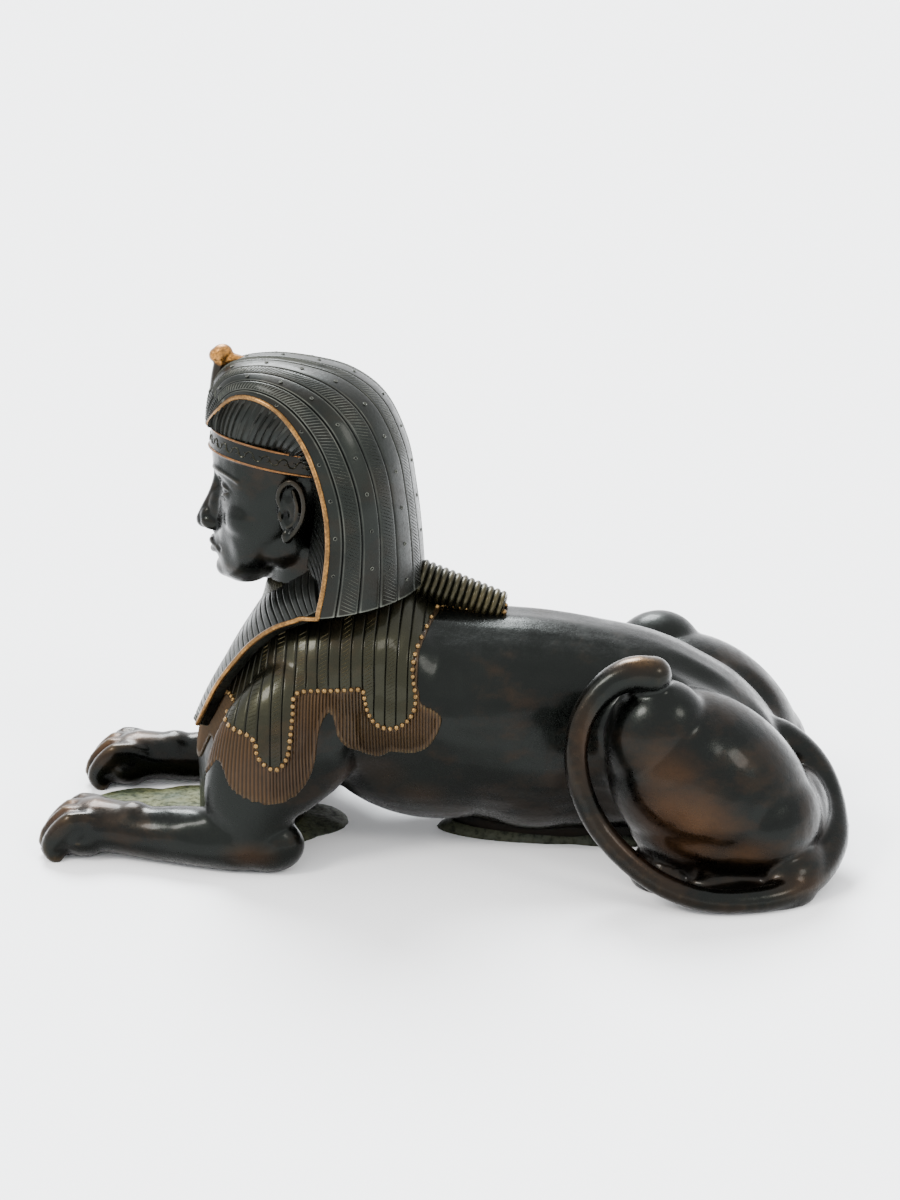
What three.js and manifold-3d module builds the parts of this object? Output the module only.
// A recumbent Egyptian sphinx, hollow cast in bronze as one piece with its own thin ground.
// Millimetres, +Z up. The face looks along -X, the tail lies on the -Y side,
// and the origin is on the flat underside, on the middle plane of the body.

import * as THREE from 'three';
import { mergeVertices } from 'three/addons/utils/BufferGeometryUtils.js';
import Module from 'manifold-3d';

const wasm = await Module();
wasm.setup();

// ---- Driving dimensions -------------------------------------------------------------------

const TOE_TIP = -242;          // X of the foremost toe
const RUMP = 208;              // X of the rearmost flesh, where the tail leaves
const BACK_HEIGHT = 140;       // Z of the back behind the mantle
const BELLY_HEIGHT = 8;        // Z of the belly's lowest line
const LEG_SPACING = 54;        // Y of each foreleg's middle
const TOE_PITCH = 9.6;         // between the middles of two toes
const TOE_COUNT = 4;
const GROUND_THICKNESS = 6;    // of the cast ground between the forelegs
const GROUND_FRONT = -232;     // X of the ground's front edge
const GROUND_WIDTH = 80;       // of the ground between the forelegs
const WEB_WIDTH = 38;          // of the web under the belly
const CHEST_FRONT = -152;      // X of the breast above the ground
const HAUNCH_FRONT = 92;       // X of the knee's front
const HAUNCH_Y = 50;           // Y of each haunch's middle
const KNEE_TOP = 122;          // Z of the knee's crown
const CROWN = 290;             // Z of the headcloth's crown
const HEAD_WIDTH = 69;
const CHIN = 158;              // Z of the chin
const HEAD_HEIGHT = 111;       // chin to the crown of the skull
const HEAD_FRONT = -138;       // X of the forehead
const NECK_RADIUS = 27;
const QUEUE_RIBS = 13;
const QUEUE_LENGTH = 52;
const QUEUE_RADIUS = 12.5;     // where it leaves the headcloth
const QUEUE_END_RADIUS = 9.5;
const QUEUE_SLOPE = THREE.MathUtils.degToRad(18);
const MANTLE_THICKNESS = 2;
const LAPPET_THICKNESS = 8;
const TAIL_RADIUS = 7;
const TAIL_TIP_RADIUS = 11;

const BRONZE = new THREE.MeshStandardMaterial({ color: 0x1c211f, roughness: 0.35, metalness: 0.9 });

// ---- Solids from three.js geometry --------------------------------------------------------

const vec = (x, y, z) => new THREE.Vector3(x, y, z);

function solid(geometry, matrix = new THREE.Matrix4()) {
  const bare = geometry.clone();
  bare.deleteAttribute('normal');
  bare.deleteAttribute('uv');
  bare.applyMatrix4(matrix);
  const merged = mergeVertices(bare, 1e-4);
  const vertProperties = new Float32Array(merged.attributes.position.array);
  const triVerts = new Uint32Array(merged.index.array);
  const made = new wasm.Manifold(new wasm.Mesh({ numProp: 3, vertProperties, triVerts }));
  return made;
}

function placed(x, y, z, turnX = 0, turnY = 0, turnZ = 0, scale = vec(1, 1, 1)) {
  const turn = new THREE.Quaternion().setFromEuler(new THREE.Euler(turnX, turnY, turnZ));
  return new THREE.Matrix4().compose(vec(x, y, z), turn, scale);
}

function ellipsoid(centre, radii, turn = [0, 0, 0], around = 20, down = 14) {
  const ball = new THREE.SphereGeometry(1, around, down);
  return solid(ball, placed(...centre, ...turn, vec(...radii)));
}

/** Skins a row of closed rings of equal length and closes both ends with a fan. */
function skin(rings) {
  const sides = rings[0].length;
  const points = rings.flat();
  const faces = [];
  for (let row = 0; row + 1 < rings.length; row += 1) {
    for (let side = 0; side < sides; side += 1) {
      const a = row * sides + side;
      const b = row * sides + (side + 1) % sides;
      faces.push(a, b, b + sides, a, b + sides, a + sides);
    }
  }
  const ends = [rings[0], rings[rings.length - 1]];
  ends.forEach((ring, end) => {
    const middle = points.length;
    const first = end === 0 ? 0 : (rings.length - 1) * sides;
    points.push(ring.reduce((sum, p) => sum.add(p), vec(0, 0, 0)).divideScalar(sides));
    for (let side = 0; side < sides; side += 1) {
      const a = first + side;
      const b = first + (side + 1) % sides;
      faces.push(...(end === 0 ? [middle, b, a] : [middle, a, b]));
    }
  });
  const volume = faces.reduce((sum, index, i) => {
    if (i % 3) return sum;
    const [p, q, r] = [points[index], points[faces[i + 1]], points[faces[i + 2]]];
    return sum + p.dot(vec(0, 0, 0).crossVectors(q, r));
  }, 0);
  if (volume < 0) faces.reverse();
  const geometry = new THREE.BufferGeometry().setFromPoints(points);
  geometry.setIndex(faces);
  return solid(geometry);
}

/** A superelliptical ring about a centre, in the plane of two unit vectors. */
function ring(centre, across, upward, halfWidth, halfHeight, sides, squareness = 2) {
  const power = 2 / squareness;
  const bend = (value) => Math.sign(value) * Math.abs(value) ** power;
  return Array.from({ length: sides }, (_, side) => {
    const angle = (side / sides) * 2 * Math.PI;
    return centre.clone()
      .addScaledVector(across, halfWidth * bend(Math.cos(angle)))
      .addScaledVector(upward, halfHeight * bend(Math.sin(angle)));
  });
}

/** Smooth values between rows of numbers, column by column. */
function between(rows, fraction) {
  const place = fraction * (rows.length - 1);
  const low = Math.min(Math.floor(place), rows.length - 2);
  const t = place - low;
  const row = (i) => rows[Math.max(0, Math.min(rows.length - 1, i))];
  return rows[0].map((_, column) => {
    const [a, b, c, d] = [row(low - 1), row(low), row(low + 1), row(low + 2)].map((r) => r[column]);
    const [v0, v1] = [(c - a) / 2, (d - b) / 2];
    const [t2, t3] = [t * t, t * t * t];
    return (2 * b - 2 * c + v0 + v1) * t3 + (-3 * b + 3 * c - 2 * v0 - v1) * t2 + v0 * t + b;
  });
}

/** Upright sections across X. Each row is x, top, bottom, half width. */
function alongX(rows, steps, sides, squareness = 2.2) {
  const rings = Array.from({ length: steps + 1 }, (_, step) => {
    const [x, top, bottom, halfWidth] = between(rows, step / steps);
    const centre = vec(x, 0, (top + bottom) / 2);
    return ring(centre, vec(0, 1, 0), vec(0, 0, 1), halfWidth, (top - bottom) / 2, sides, squareness);
  });
  return skin(rings);
}

/** Level sections across Z. Each row is z, front x, back x, half width. */
function alongZ(rows, steps, sides, squareness = 2.2) {
  const rings = Array.from({ length: steps + 1 }, (_, step) => {
    const [z, front, back, halfWidth] = between(rows, step / steps);
    const centre = vec((front + back) / 2, 0, z);
    return ring(centre, vec(0, 1, 0), vec(1, 0, 0), halfWidth, (back - front) / 2, sides, squareness);
  });
  return skin(rings);
}

/** A limb along a path with round ends. Each row is x, y, z, half width, half height. */
function limb(rows, steps, sides, squareness = 2) {
  const centreAt = (fraction) => vec(...between(rows, fraction));
  const frameAt = (fraction) => {
    const ahead = centreAt(Math.min(1, fraction + 0.01));
    const tangent = ahead.sub(centreAt(Math.max(0, fraction - 0.01))).normalize();
    const across = vec(0, 1, 0).addScaledVector(tangent, -tangent.y).normalize();
    return [tangent, across, vec(0, 0, 0).crossVectors(tangent, across)];
  };
  const rings = [];
  const capAngles = [72, 38].map(THREE.MathUtils.degToRad);
  const cap = (fraction, way) => capAngles.map((angle) => {
    const [tangent, across, upward] = frameAt(fraction);
    const [, , , w, h] = between(rows, fraction);
    const centre = centreAt(fraction).addScaledVector(tangent, way * Math.sin(angle) * Math.min(w, h));
    return ring(centre, across, upward, w * Math.cos(angle), h * Math.cos(angle), sides, squareness);
  });
  rings.push(...cap(0, -1));
  for (let step = 0; step <= steps; step += 1) {
    const fraction = step / steps;
    const [, across, upward] = frameAt(fraction);
    const [, , , w, h] = between(rows, fraction);
    rings.push(ring(centreAt(fraction), across, upward, w, h, sides, squareness));
  }
  rings.push(...cap(1, 1).reverse());
  return skin(rings);
}

const joined = (pieces) => pieces.reduce((whole, piece) => whole.add(piece));
const bothSides = (make) => joined([make(-1), make(1)]);

/** An upright prism over an outline in the XY plane. */
function plate(outline, thickness) {
  const shape = new THREE.Shape(outline.map(([x, y]) => new THREE.Vector2(x, y)));
  return solid(new THREE.ExtrudeGeometry(shape, { depth: thickness, bevelEnabled: false }));
}

// ---- Body ---------------------------------------------------------------------------------

function trunk(extra = 0) {
  const rows = [
    [-118, 118, 32, 40],
    [-88, 138, 24, 54],
    [-52, 147, BELLY_HEIGHT + 14, 60],
    [-16, 146, BELLY_HEIGHT + 8, 59],
    [20, BACK_HEIGHT + 1, BELLY_HEIGHT, 56],
    [56, BACK_HEIGHT - 1, BELLY_HEIGHT, 54],
    [90, BACK_HEIGHT - 6, BELLY_HEIGHT + 3, 52],
    [122, 127, BELLY_HEIGHT + 4, 55],
    [150, 114, 6, 60],
    [174, 98, 2, 60],
    [193, 76, 0, 52],
    [204, 56, 2, 38],
    [RUMP, 42, 10, 22],
  ].map(([x, top, bottom, half]) => [x, top + extra, bottom - extra, half + extra]);
  return alongX(rows, 16, 20);
}

function breast(extra = 0) {
  const rows = [
    [-4, CHEST_FRONT - 2, -62, 38],
    [26, CHEST_FRONT - 1, -36, 43],
    [58, CHEST_FRONT, -20, 54],
    [86, -144, -8, 62],
    [110, -131, -2, 63],
    [132, -117, -2, 57],
    [148, -109, -14, 42],
    [160, -107, -34, 27],
  ].map(([z, front, back, half]) => [z, front - extra, back + extra, half + extra]);
  return alongZ(rows, 10, 18, 2.1);
}

function shoulder(side, extra = 0) {
  const rows = [
    [-48, side * 40, 104, 18, 28],
    [-70, side * 52, 90, 22, 38],
    [-93, side * 61, 68, 21, 37],
    [-108, side * 67, 42, 18, 28],
    [-108, side * 69, 20, 16, 20],
  ].map(([x, y, z, w, h]) => [x, y, z, w + extra, h + extra]);
  return limb(rows, 6, 12);
}

function foreleg(side) {
  const y = side * LEG_SPACING;
  const rows = [
    [-96, side * 70, 17, 14, 15],
    [-124, side * 68, 18, 17, 18],
    [-152, side * 62, 16, 17, 17],
    [-180, side * 57, 16, 16, 15.5],
    [-204, y, 18, 18, 17],
    [-216, y, 17, 19, 16],
  ];
  return limb(rows, 7, 12, 2.3);
}

function toes(side) {
  const middle = side * LEG_SPACING;
  const ends = (TOE_COUNT - 1) / 2;
  return joined(Array.from({ length: TOE_COUNT }, (_, index) => {
    const offset = (index - ends) * TOE_PITCH;
    const reach = TOE_TIP + 7 + 2.4 * (offset / TOE_PITCH) ** 2;
    const y = middle + offset;
    const rows = [
      [reach + 34, middle + offset * 0.75, 22, 5, 6],
      [reach + 20, y, 29, 5.2, 7],
      [reach + 8, y, 22, 5.2, 7.5],
      [reach + 1, y, 9, 5, 6],
    ];
    return limb(rows, 3, 8);
  }));
}

function haunch(side) {
  const tilt = THREE.MathUtils.degToRad(46);
  const thigh = ellipsoid([154, side * HAUNCH_Y, 53], [65, 46, 48], [0, tilt, 0], 20, 12);
  const knee = ellipsoid([HAUNCH_FRONT + 30, side * 62, KNEE_TOP - 34], [30, 26, 34], [0, 0.4, 0], 12, 8);
  const shank = limb([
    [124, side * 70, 18, 15, 16],
    [150, side * 74, 16, 18, 16],
    [180, side * 72, 16, 17, 16],
  ], 2, 10);
  return joined([thigh, knee, shank]);
}

function tail() {
  const path = [
    [196, -2, 64, TAIL_RADIUS + 5],
    [210, -8, 59, TAIL_RADIUS + 3],
    [222, -16, 47, TAIL_RADIUS + 1],
    [229, -30, 33, TAIL_RADIUS],
    [227, -52, 19, TAIL_RADIUS],
    [215, -76, 10, TAIL_RADIUS],
    [196, -95, 7, TAIL_RADIUS],
    [172, -104, 6.5, TAIL_RADIUS],
    [148, -105, 9, TAIL_RADIUS],
    [124, -102, 17, TAIL_RADIUS],
    [104, -97, 31, TAIL_RADIUS],
    [89, -92, 48, TAIL_RADIUS],
    [79, -88, 68, TAIL_RADIUS],
    [77, -83, 88, TAIL_RADIUS],
    [82, -77, 106, TAIL_RADIUS + 0.5],
    [93, -72, 120, TAIL_RADIUS + 1.5],
    [107, -69, 127, TAIL_TIP_RADIUS - 1],
    [120, -67, 126, TAIL_TIP_RADIUS],
  ];
  return limb(path.map(([x, y, z, r]) => [x, y, z, r, r]), 32, 8);
}

function ground() {
  const half = GROUND_WIDTH / 2;
  const web = WEB_WIDTH / 2;
  const outline = [
    [GROUND_FRONT, -half], [-110, -half], [-70, -web], [90, -web], [130, -60], [190, -50],
    [190, 50], [130, 60], [90, web], [-70, web], [-110, half], [GROUND_FRONT, half],
  ];
  const keel = [[-100, -web], [110, -web], [110, web], [-100, web]];
  return joined([plate(outline, GROUND_THICKNESS), plate(keel, BELLY_HEIGHT + 20)]);
}

// ---- Mantle over the shoulders --------------------------------------------------------------

/** The mantle's lower edge in side view: two scallops and a rising rear edge. */
function mantleOutline() {
  const outline = new THREE.Shape();
  outline.moveTo(-170, 170);
  outline.lineTo(-170, 62);
  outline.quadraticCurveTo(-132, 44, -116, 52);
  outline.quadraticCurveTo(-92, 42, -72, 66);
  outline.quadraticCurveTo(-66, 84, -61, 96);
  outline.quadraticCurveTo(-54, 68, -34, 68);
  outline.quadraticCurveTo(-2, 68, 1, 92);
  outline.quadraticCurveTo(-4, 104, -12, 103);
  outline.quadraticCurveTo(-16, 128, 0, 140);
  outline.lineTo(36, 141);
  outline.lineTo(36, 170);
  outline.closePath();
  return outline;
}

function mantle() {
  const layer = joined([
    trunk(MANTLE_THICKNESS), breast(MANTLE_THICKNESS),
    shoulder(-1, MANTLE_THICKNESS), shoulder(1, MANTLE_THICKNESS),
  ]);
  const reach = 110;
  const cutter = new THREE.ExtrudeGeometry(mantleOutline(), {
    depth: 2 * reach, bevelEnabled: false, curveSegments: 4,
  });
  return layer.intersect(solid(cutter, placed(0, reach, 0, Math.PI / 2)));
}

// ---- Head -----------------------------------------------------------------------------------

function head() {
  const half = HEAD_WIDTH / 2;
  const eyes = CHIN + HEAD_HEIGHT / 2;
  const nose = CHIN + 28;
  const mouth = CHIN + 19;
  const skull = ellipsoid([HEAD_FRONT + 46, 0, eyes + 8], [46, half + 1, 46], [0, 0, 0], 16, 8);
  const face = alongZ([
    [CHIN - 2, HEAD_FRONT + 5, -106, 9],
    [CHIN + 6, HEAD_FRONT, -96, 20],
    [mouth, HEAD_FRONT + 0.5, -84, 28],
    [nose + 6, HEAD_FRONT + 1, -72, 32],
    [eyes, HEAD_FRONT + 3.5, -60, half],
    [eyes + 14, HEAD_FRONT, -60, half],
    [eyes + 30, HEAD_FRONT + 3, -60, half - 2],
  ], 8, 16, 2.1);
  const noseRidge = alongZ([
    [nose - 2, HEAD_FRONT - 5, HEAD_FRONT + 8, 6],
    [nose + 2, HEAD_FRONT - 10, HEAD_FRONT + 8, 8],
    [nose + 6, HEAD_FRONT - 9, HEAD_FRONT + 8, 6],
    [nose + 16, HEAD_FRONT - 4.5, HEAD_FRONT + 8, 4],
    [eyes + 8, HEAD_FRONT - 0.5, HEAD_FRONT + 8, 5],
  ], 5, 8);
  const lips = joined([
    ellipsoid([HEAD_FRONT + 1, 0, mouth + 2], [4.5, 11, 2.6], [0, 0, 0], 8, 6),
    ellipsoid([HEAD_FRONT + 1.5, 0, mouth - 2.6], [4.5, 9, 3], [0, 0, 0], 8, 6),
  ]);
  const features = bothSides((side) => joined([
    ellipsoid([HEAD_FRONT + 10, side * 15, eyes], [4.5, 7.5, 3.4], [0, 0, -side * 0.35], 8, 6),
    ellipsoid([HEAD_FRONT + 6.5, side * 15, eyes + 9.5], [4.5, 10, 2.6], [0, 0, -side * 0.4], 8, 6),
    ellipsoid([-89, side * 36.5, nose + 20], [8, 4.5, 18], [0, -0.1, 0], 10, 7),
  ]));
  const neck = alongZ([
    [134, -108, -52, NECK_RADIUS + 6],
    [152, -107, -54, NECK_RADIUS],
    [176, -106, -54, NECK_RADIUS],
  ], 2, 14, 2);
  return joined([skull, face, noseRidge, lips, features, neck]);
}

function headband() {
  const profile = [[1, -7], [1.07, -6], [1.07, 6], [1, 7], [0.8, 7], [0.8, -7], [1, -7]];
  const band = new THREE.LatheGeometry(profile.map(([r, z]) => new THREE.Vector2(r, z)), 20);
  const upright = new THREE.Matrix4().makeRotationX(Math.PI / 2);
  const size = new THREE.Matrix4().makeScale(46, HEAD_WIDTH / 2 + 1, 1);
  const place = placed(HEAD_FRONT + 45, 0, 237, 0, THREE.MathUtils.degToRad(-10), 0);
  return solid(band, place.multiply(size).multiply(upright));
}

// ---- Headcloth ------------------------------------------------------------------------------

/** The face opening's arris, from the brow over the temple to the corner on the shoulder. */
const ARRIS = [
  [-139, 7, 250], [-131, 17, 260], [-120, 25, 269], [-107, 33, 270.5], [-93, 40, 265],
  [-81, 46.5, 253], [-72, 51.5, 237], [-65, 57, 215], [-63, 60.5, 194], [-65, 64, 172], [-69, 66, 153],
];
/** The headcloth's crown and back on the middle plane, over the same length. */
const CREST = [
  [-142, 0, 249], [-138, 0, 270], [-126, 0, 285], [-105, 0, CROWN], [-80, 0, CROWN - 2],
  [-56, 0, 281], [-37, 0, 266], [-25, 0, 240], [-20, 0, 212], [-17, 0, 186], [-15, 0, 158],
];

/** Where the cloth's lining meets the head and neck inside, on the middle plane. */
const LINING = [
  [-98, 0, 238], [-94, 0, 234], [-88, 0, 226], [-82, 0, 208], [-80, 0, 184], [-82, 0, 158],
];

/** Half a section of the headcloth, from the arris (0) round to the crest (1). */
function clothPoint(along, round) {
  const edge = vec(...between(ARRIS, along));
  const crest = vec(...between(CREST, along));
  const inward = crest.clone().sub(edge);
  const bulge = 0.56;
  const side = edge.clone().add(vec(inward.x, 0, inward.z).multiplyScalar(bulge));
  side.y += 3 * Math.sin(Math.PI * along);
  const top = crest.clone().add(vec(0, -inward.y * bulge, 0));
  const [a, b, c, d] = [(1 - round) ** 3, 3 * round * (1 - round) ** 2, 3 * round ** 2 * (1 - round), round ** 3];
  return edge.multiplyScalar(a).addScaledVector(side, b).addScaledVector(top, c).addScaledVector(crest, d);
}

function headcloth() {
  const rows = 14;
  const half = 8;
  const rings = Array.from({ length: rows + 1 }, (_, row) => {
    const along = row / rows;
    const outer = [];
    for (let step = 0; step <= 2 * half; step += 1) {
      const round = step <= half ? step / half : 2 - step / half;
      const point = clothPoint(along, round);
      if (step < half) point.y *= -1;
      outer.push(point);
    }
    return [...outer, vec(...between(LINING, along))];
  });
  return skin(rings);
}

/** One front lappet: from the neck over the breast down to its rounded tip. */
function lappet(side) {
  const rows = [
    [-66, 65, 160, -72, 26, 170],
    [-80, 62, 151, -92, 22, 160],
    [-95, 57.5, 144, -106, 14, 150],
    [-109, 53, 133, -115, 9, 138],
    [-121, 50, 119, -126, 10, 120],
    [-131, 47, 105, -135, 12, 104],
    [-139, 43, 90, -143, 16, 89],
    [-146, 37, 75, -148, 26, 76],
  ];
  const steps = 9;
  const rings = Array.from({ length: steps + 1 }, (_, step) => {
    const [ox, oy, oz, ix, iy, iz] = between(rows, step / steps);
    const outer = vec(ox, side * oy, oz);
    const inner = vec(ix, side * iy, iz);
    const middle = outer.clone().lerp(inner, 0.5).add(vec(-3, side * 3, 3));
    const sink = vec(0.75, 0, -0.65).multiplyScalar(LAPPET_THICKNESS + 6);
    return [outer, middle, inner, inner.clone().add(sink), middle.clone().add(sink), outer.clone().add(sink)];
  });
  return skin(rings);
}

function queue() {
  const profile = [new THREE.Vector2(0, 0)];
  const perRib = 2;
  for (let step = 0; step <= QUEUE_RIBS * perRib; step += 1) {
    const along = step / (QUEUE_RIBS * perRib);
    const swell = 1.1 * Math.abs(Math.sin(along * QUEUE_RIBS * Math.PI));
    const radius = THREE.MathUtils.lerp(QUEUE_RADIUS, QUEUE_END_RADIUS, along) - 1 + swell;
    profile.push(new THREE.Vector2(radius, along * QUEUE_LENGTH));
  }
  profile.push(new THREE.Vector2(0, QUEUE_LENGTH));
  const rod = new THREE.LatheGeometry(profile, 9);
  const lie = placed(-18, 0, 157.5, 0, Math.PI / 2 + QUEUE_SLOPE, 0);
  return solid(rod, lie.multiply(new THREE.Matrix4().makeRotationX(Math.PI / 2)));
}

function uraeus() {
  const stem = limb([
    [-140, 0, 249, 5, 4],
    [-140, 0, 261, 6, 4.5],
    [-138, 0, 274, 6, 5],
    [-133, 0, 286, 5.5, 5],
  ], 3, 8);
  const stub = ellipsoid([-130, 0, 291], [8.5, 7, 6.5], [0, -0.3, 0], 10, 7);
  return joined([stem, stub]);
}

// ---- The casting ----------------------------------------------------------------------------

function casting() {
  const figure = joined([
    trunk(), breast(), bothSides((side) => shoulder(side)), mantle(),
    bothSides(foreleg), bothSides(toes), bothSides(haunch), tail(),
    head(), headband(), headcloth(), bothSides(lappet), queue(), uraeus(), ground(),
  ]);
  const below = new THREE.BoxGeometry(1000, 1000, 100);
  return figure.subtract(solid(below, placed(0, 0, -50)));
}

function meshOf(manifold, name, material) {
  const { vertProperties, triVerts } = manifold.getMesh();
  const geometry = new THREE.BufferGeometry();
  geometry.setAttribute('position', new THREE.BufferAttribute(new Float32Array(vertProperties), 3));
  geometry.setIndex(new THREE.BufferAttribute(new Uint32Array(triVerts), 1));
  geometry.computeVertexNormals();
  const mesh = new THREE.Mesh(geometry, material);
  mesh.name = name;
  return mesh;
}

const statue = new THREE.Group();
statue.name = 'sphinx_statue';
statue.add(meshOf(casting(), 'sphinx', BRONZE));

export default statue;
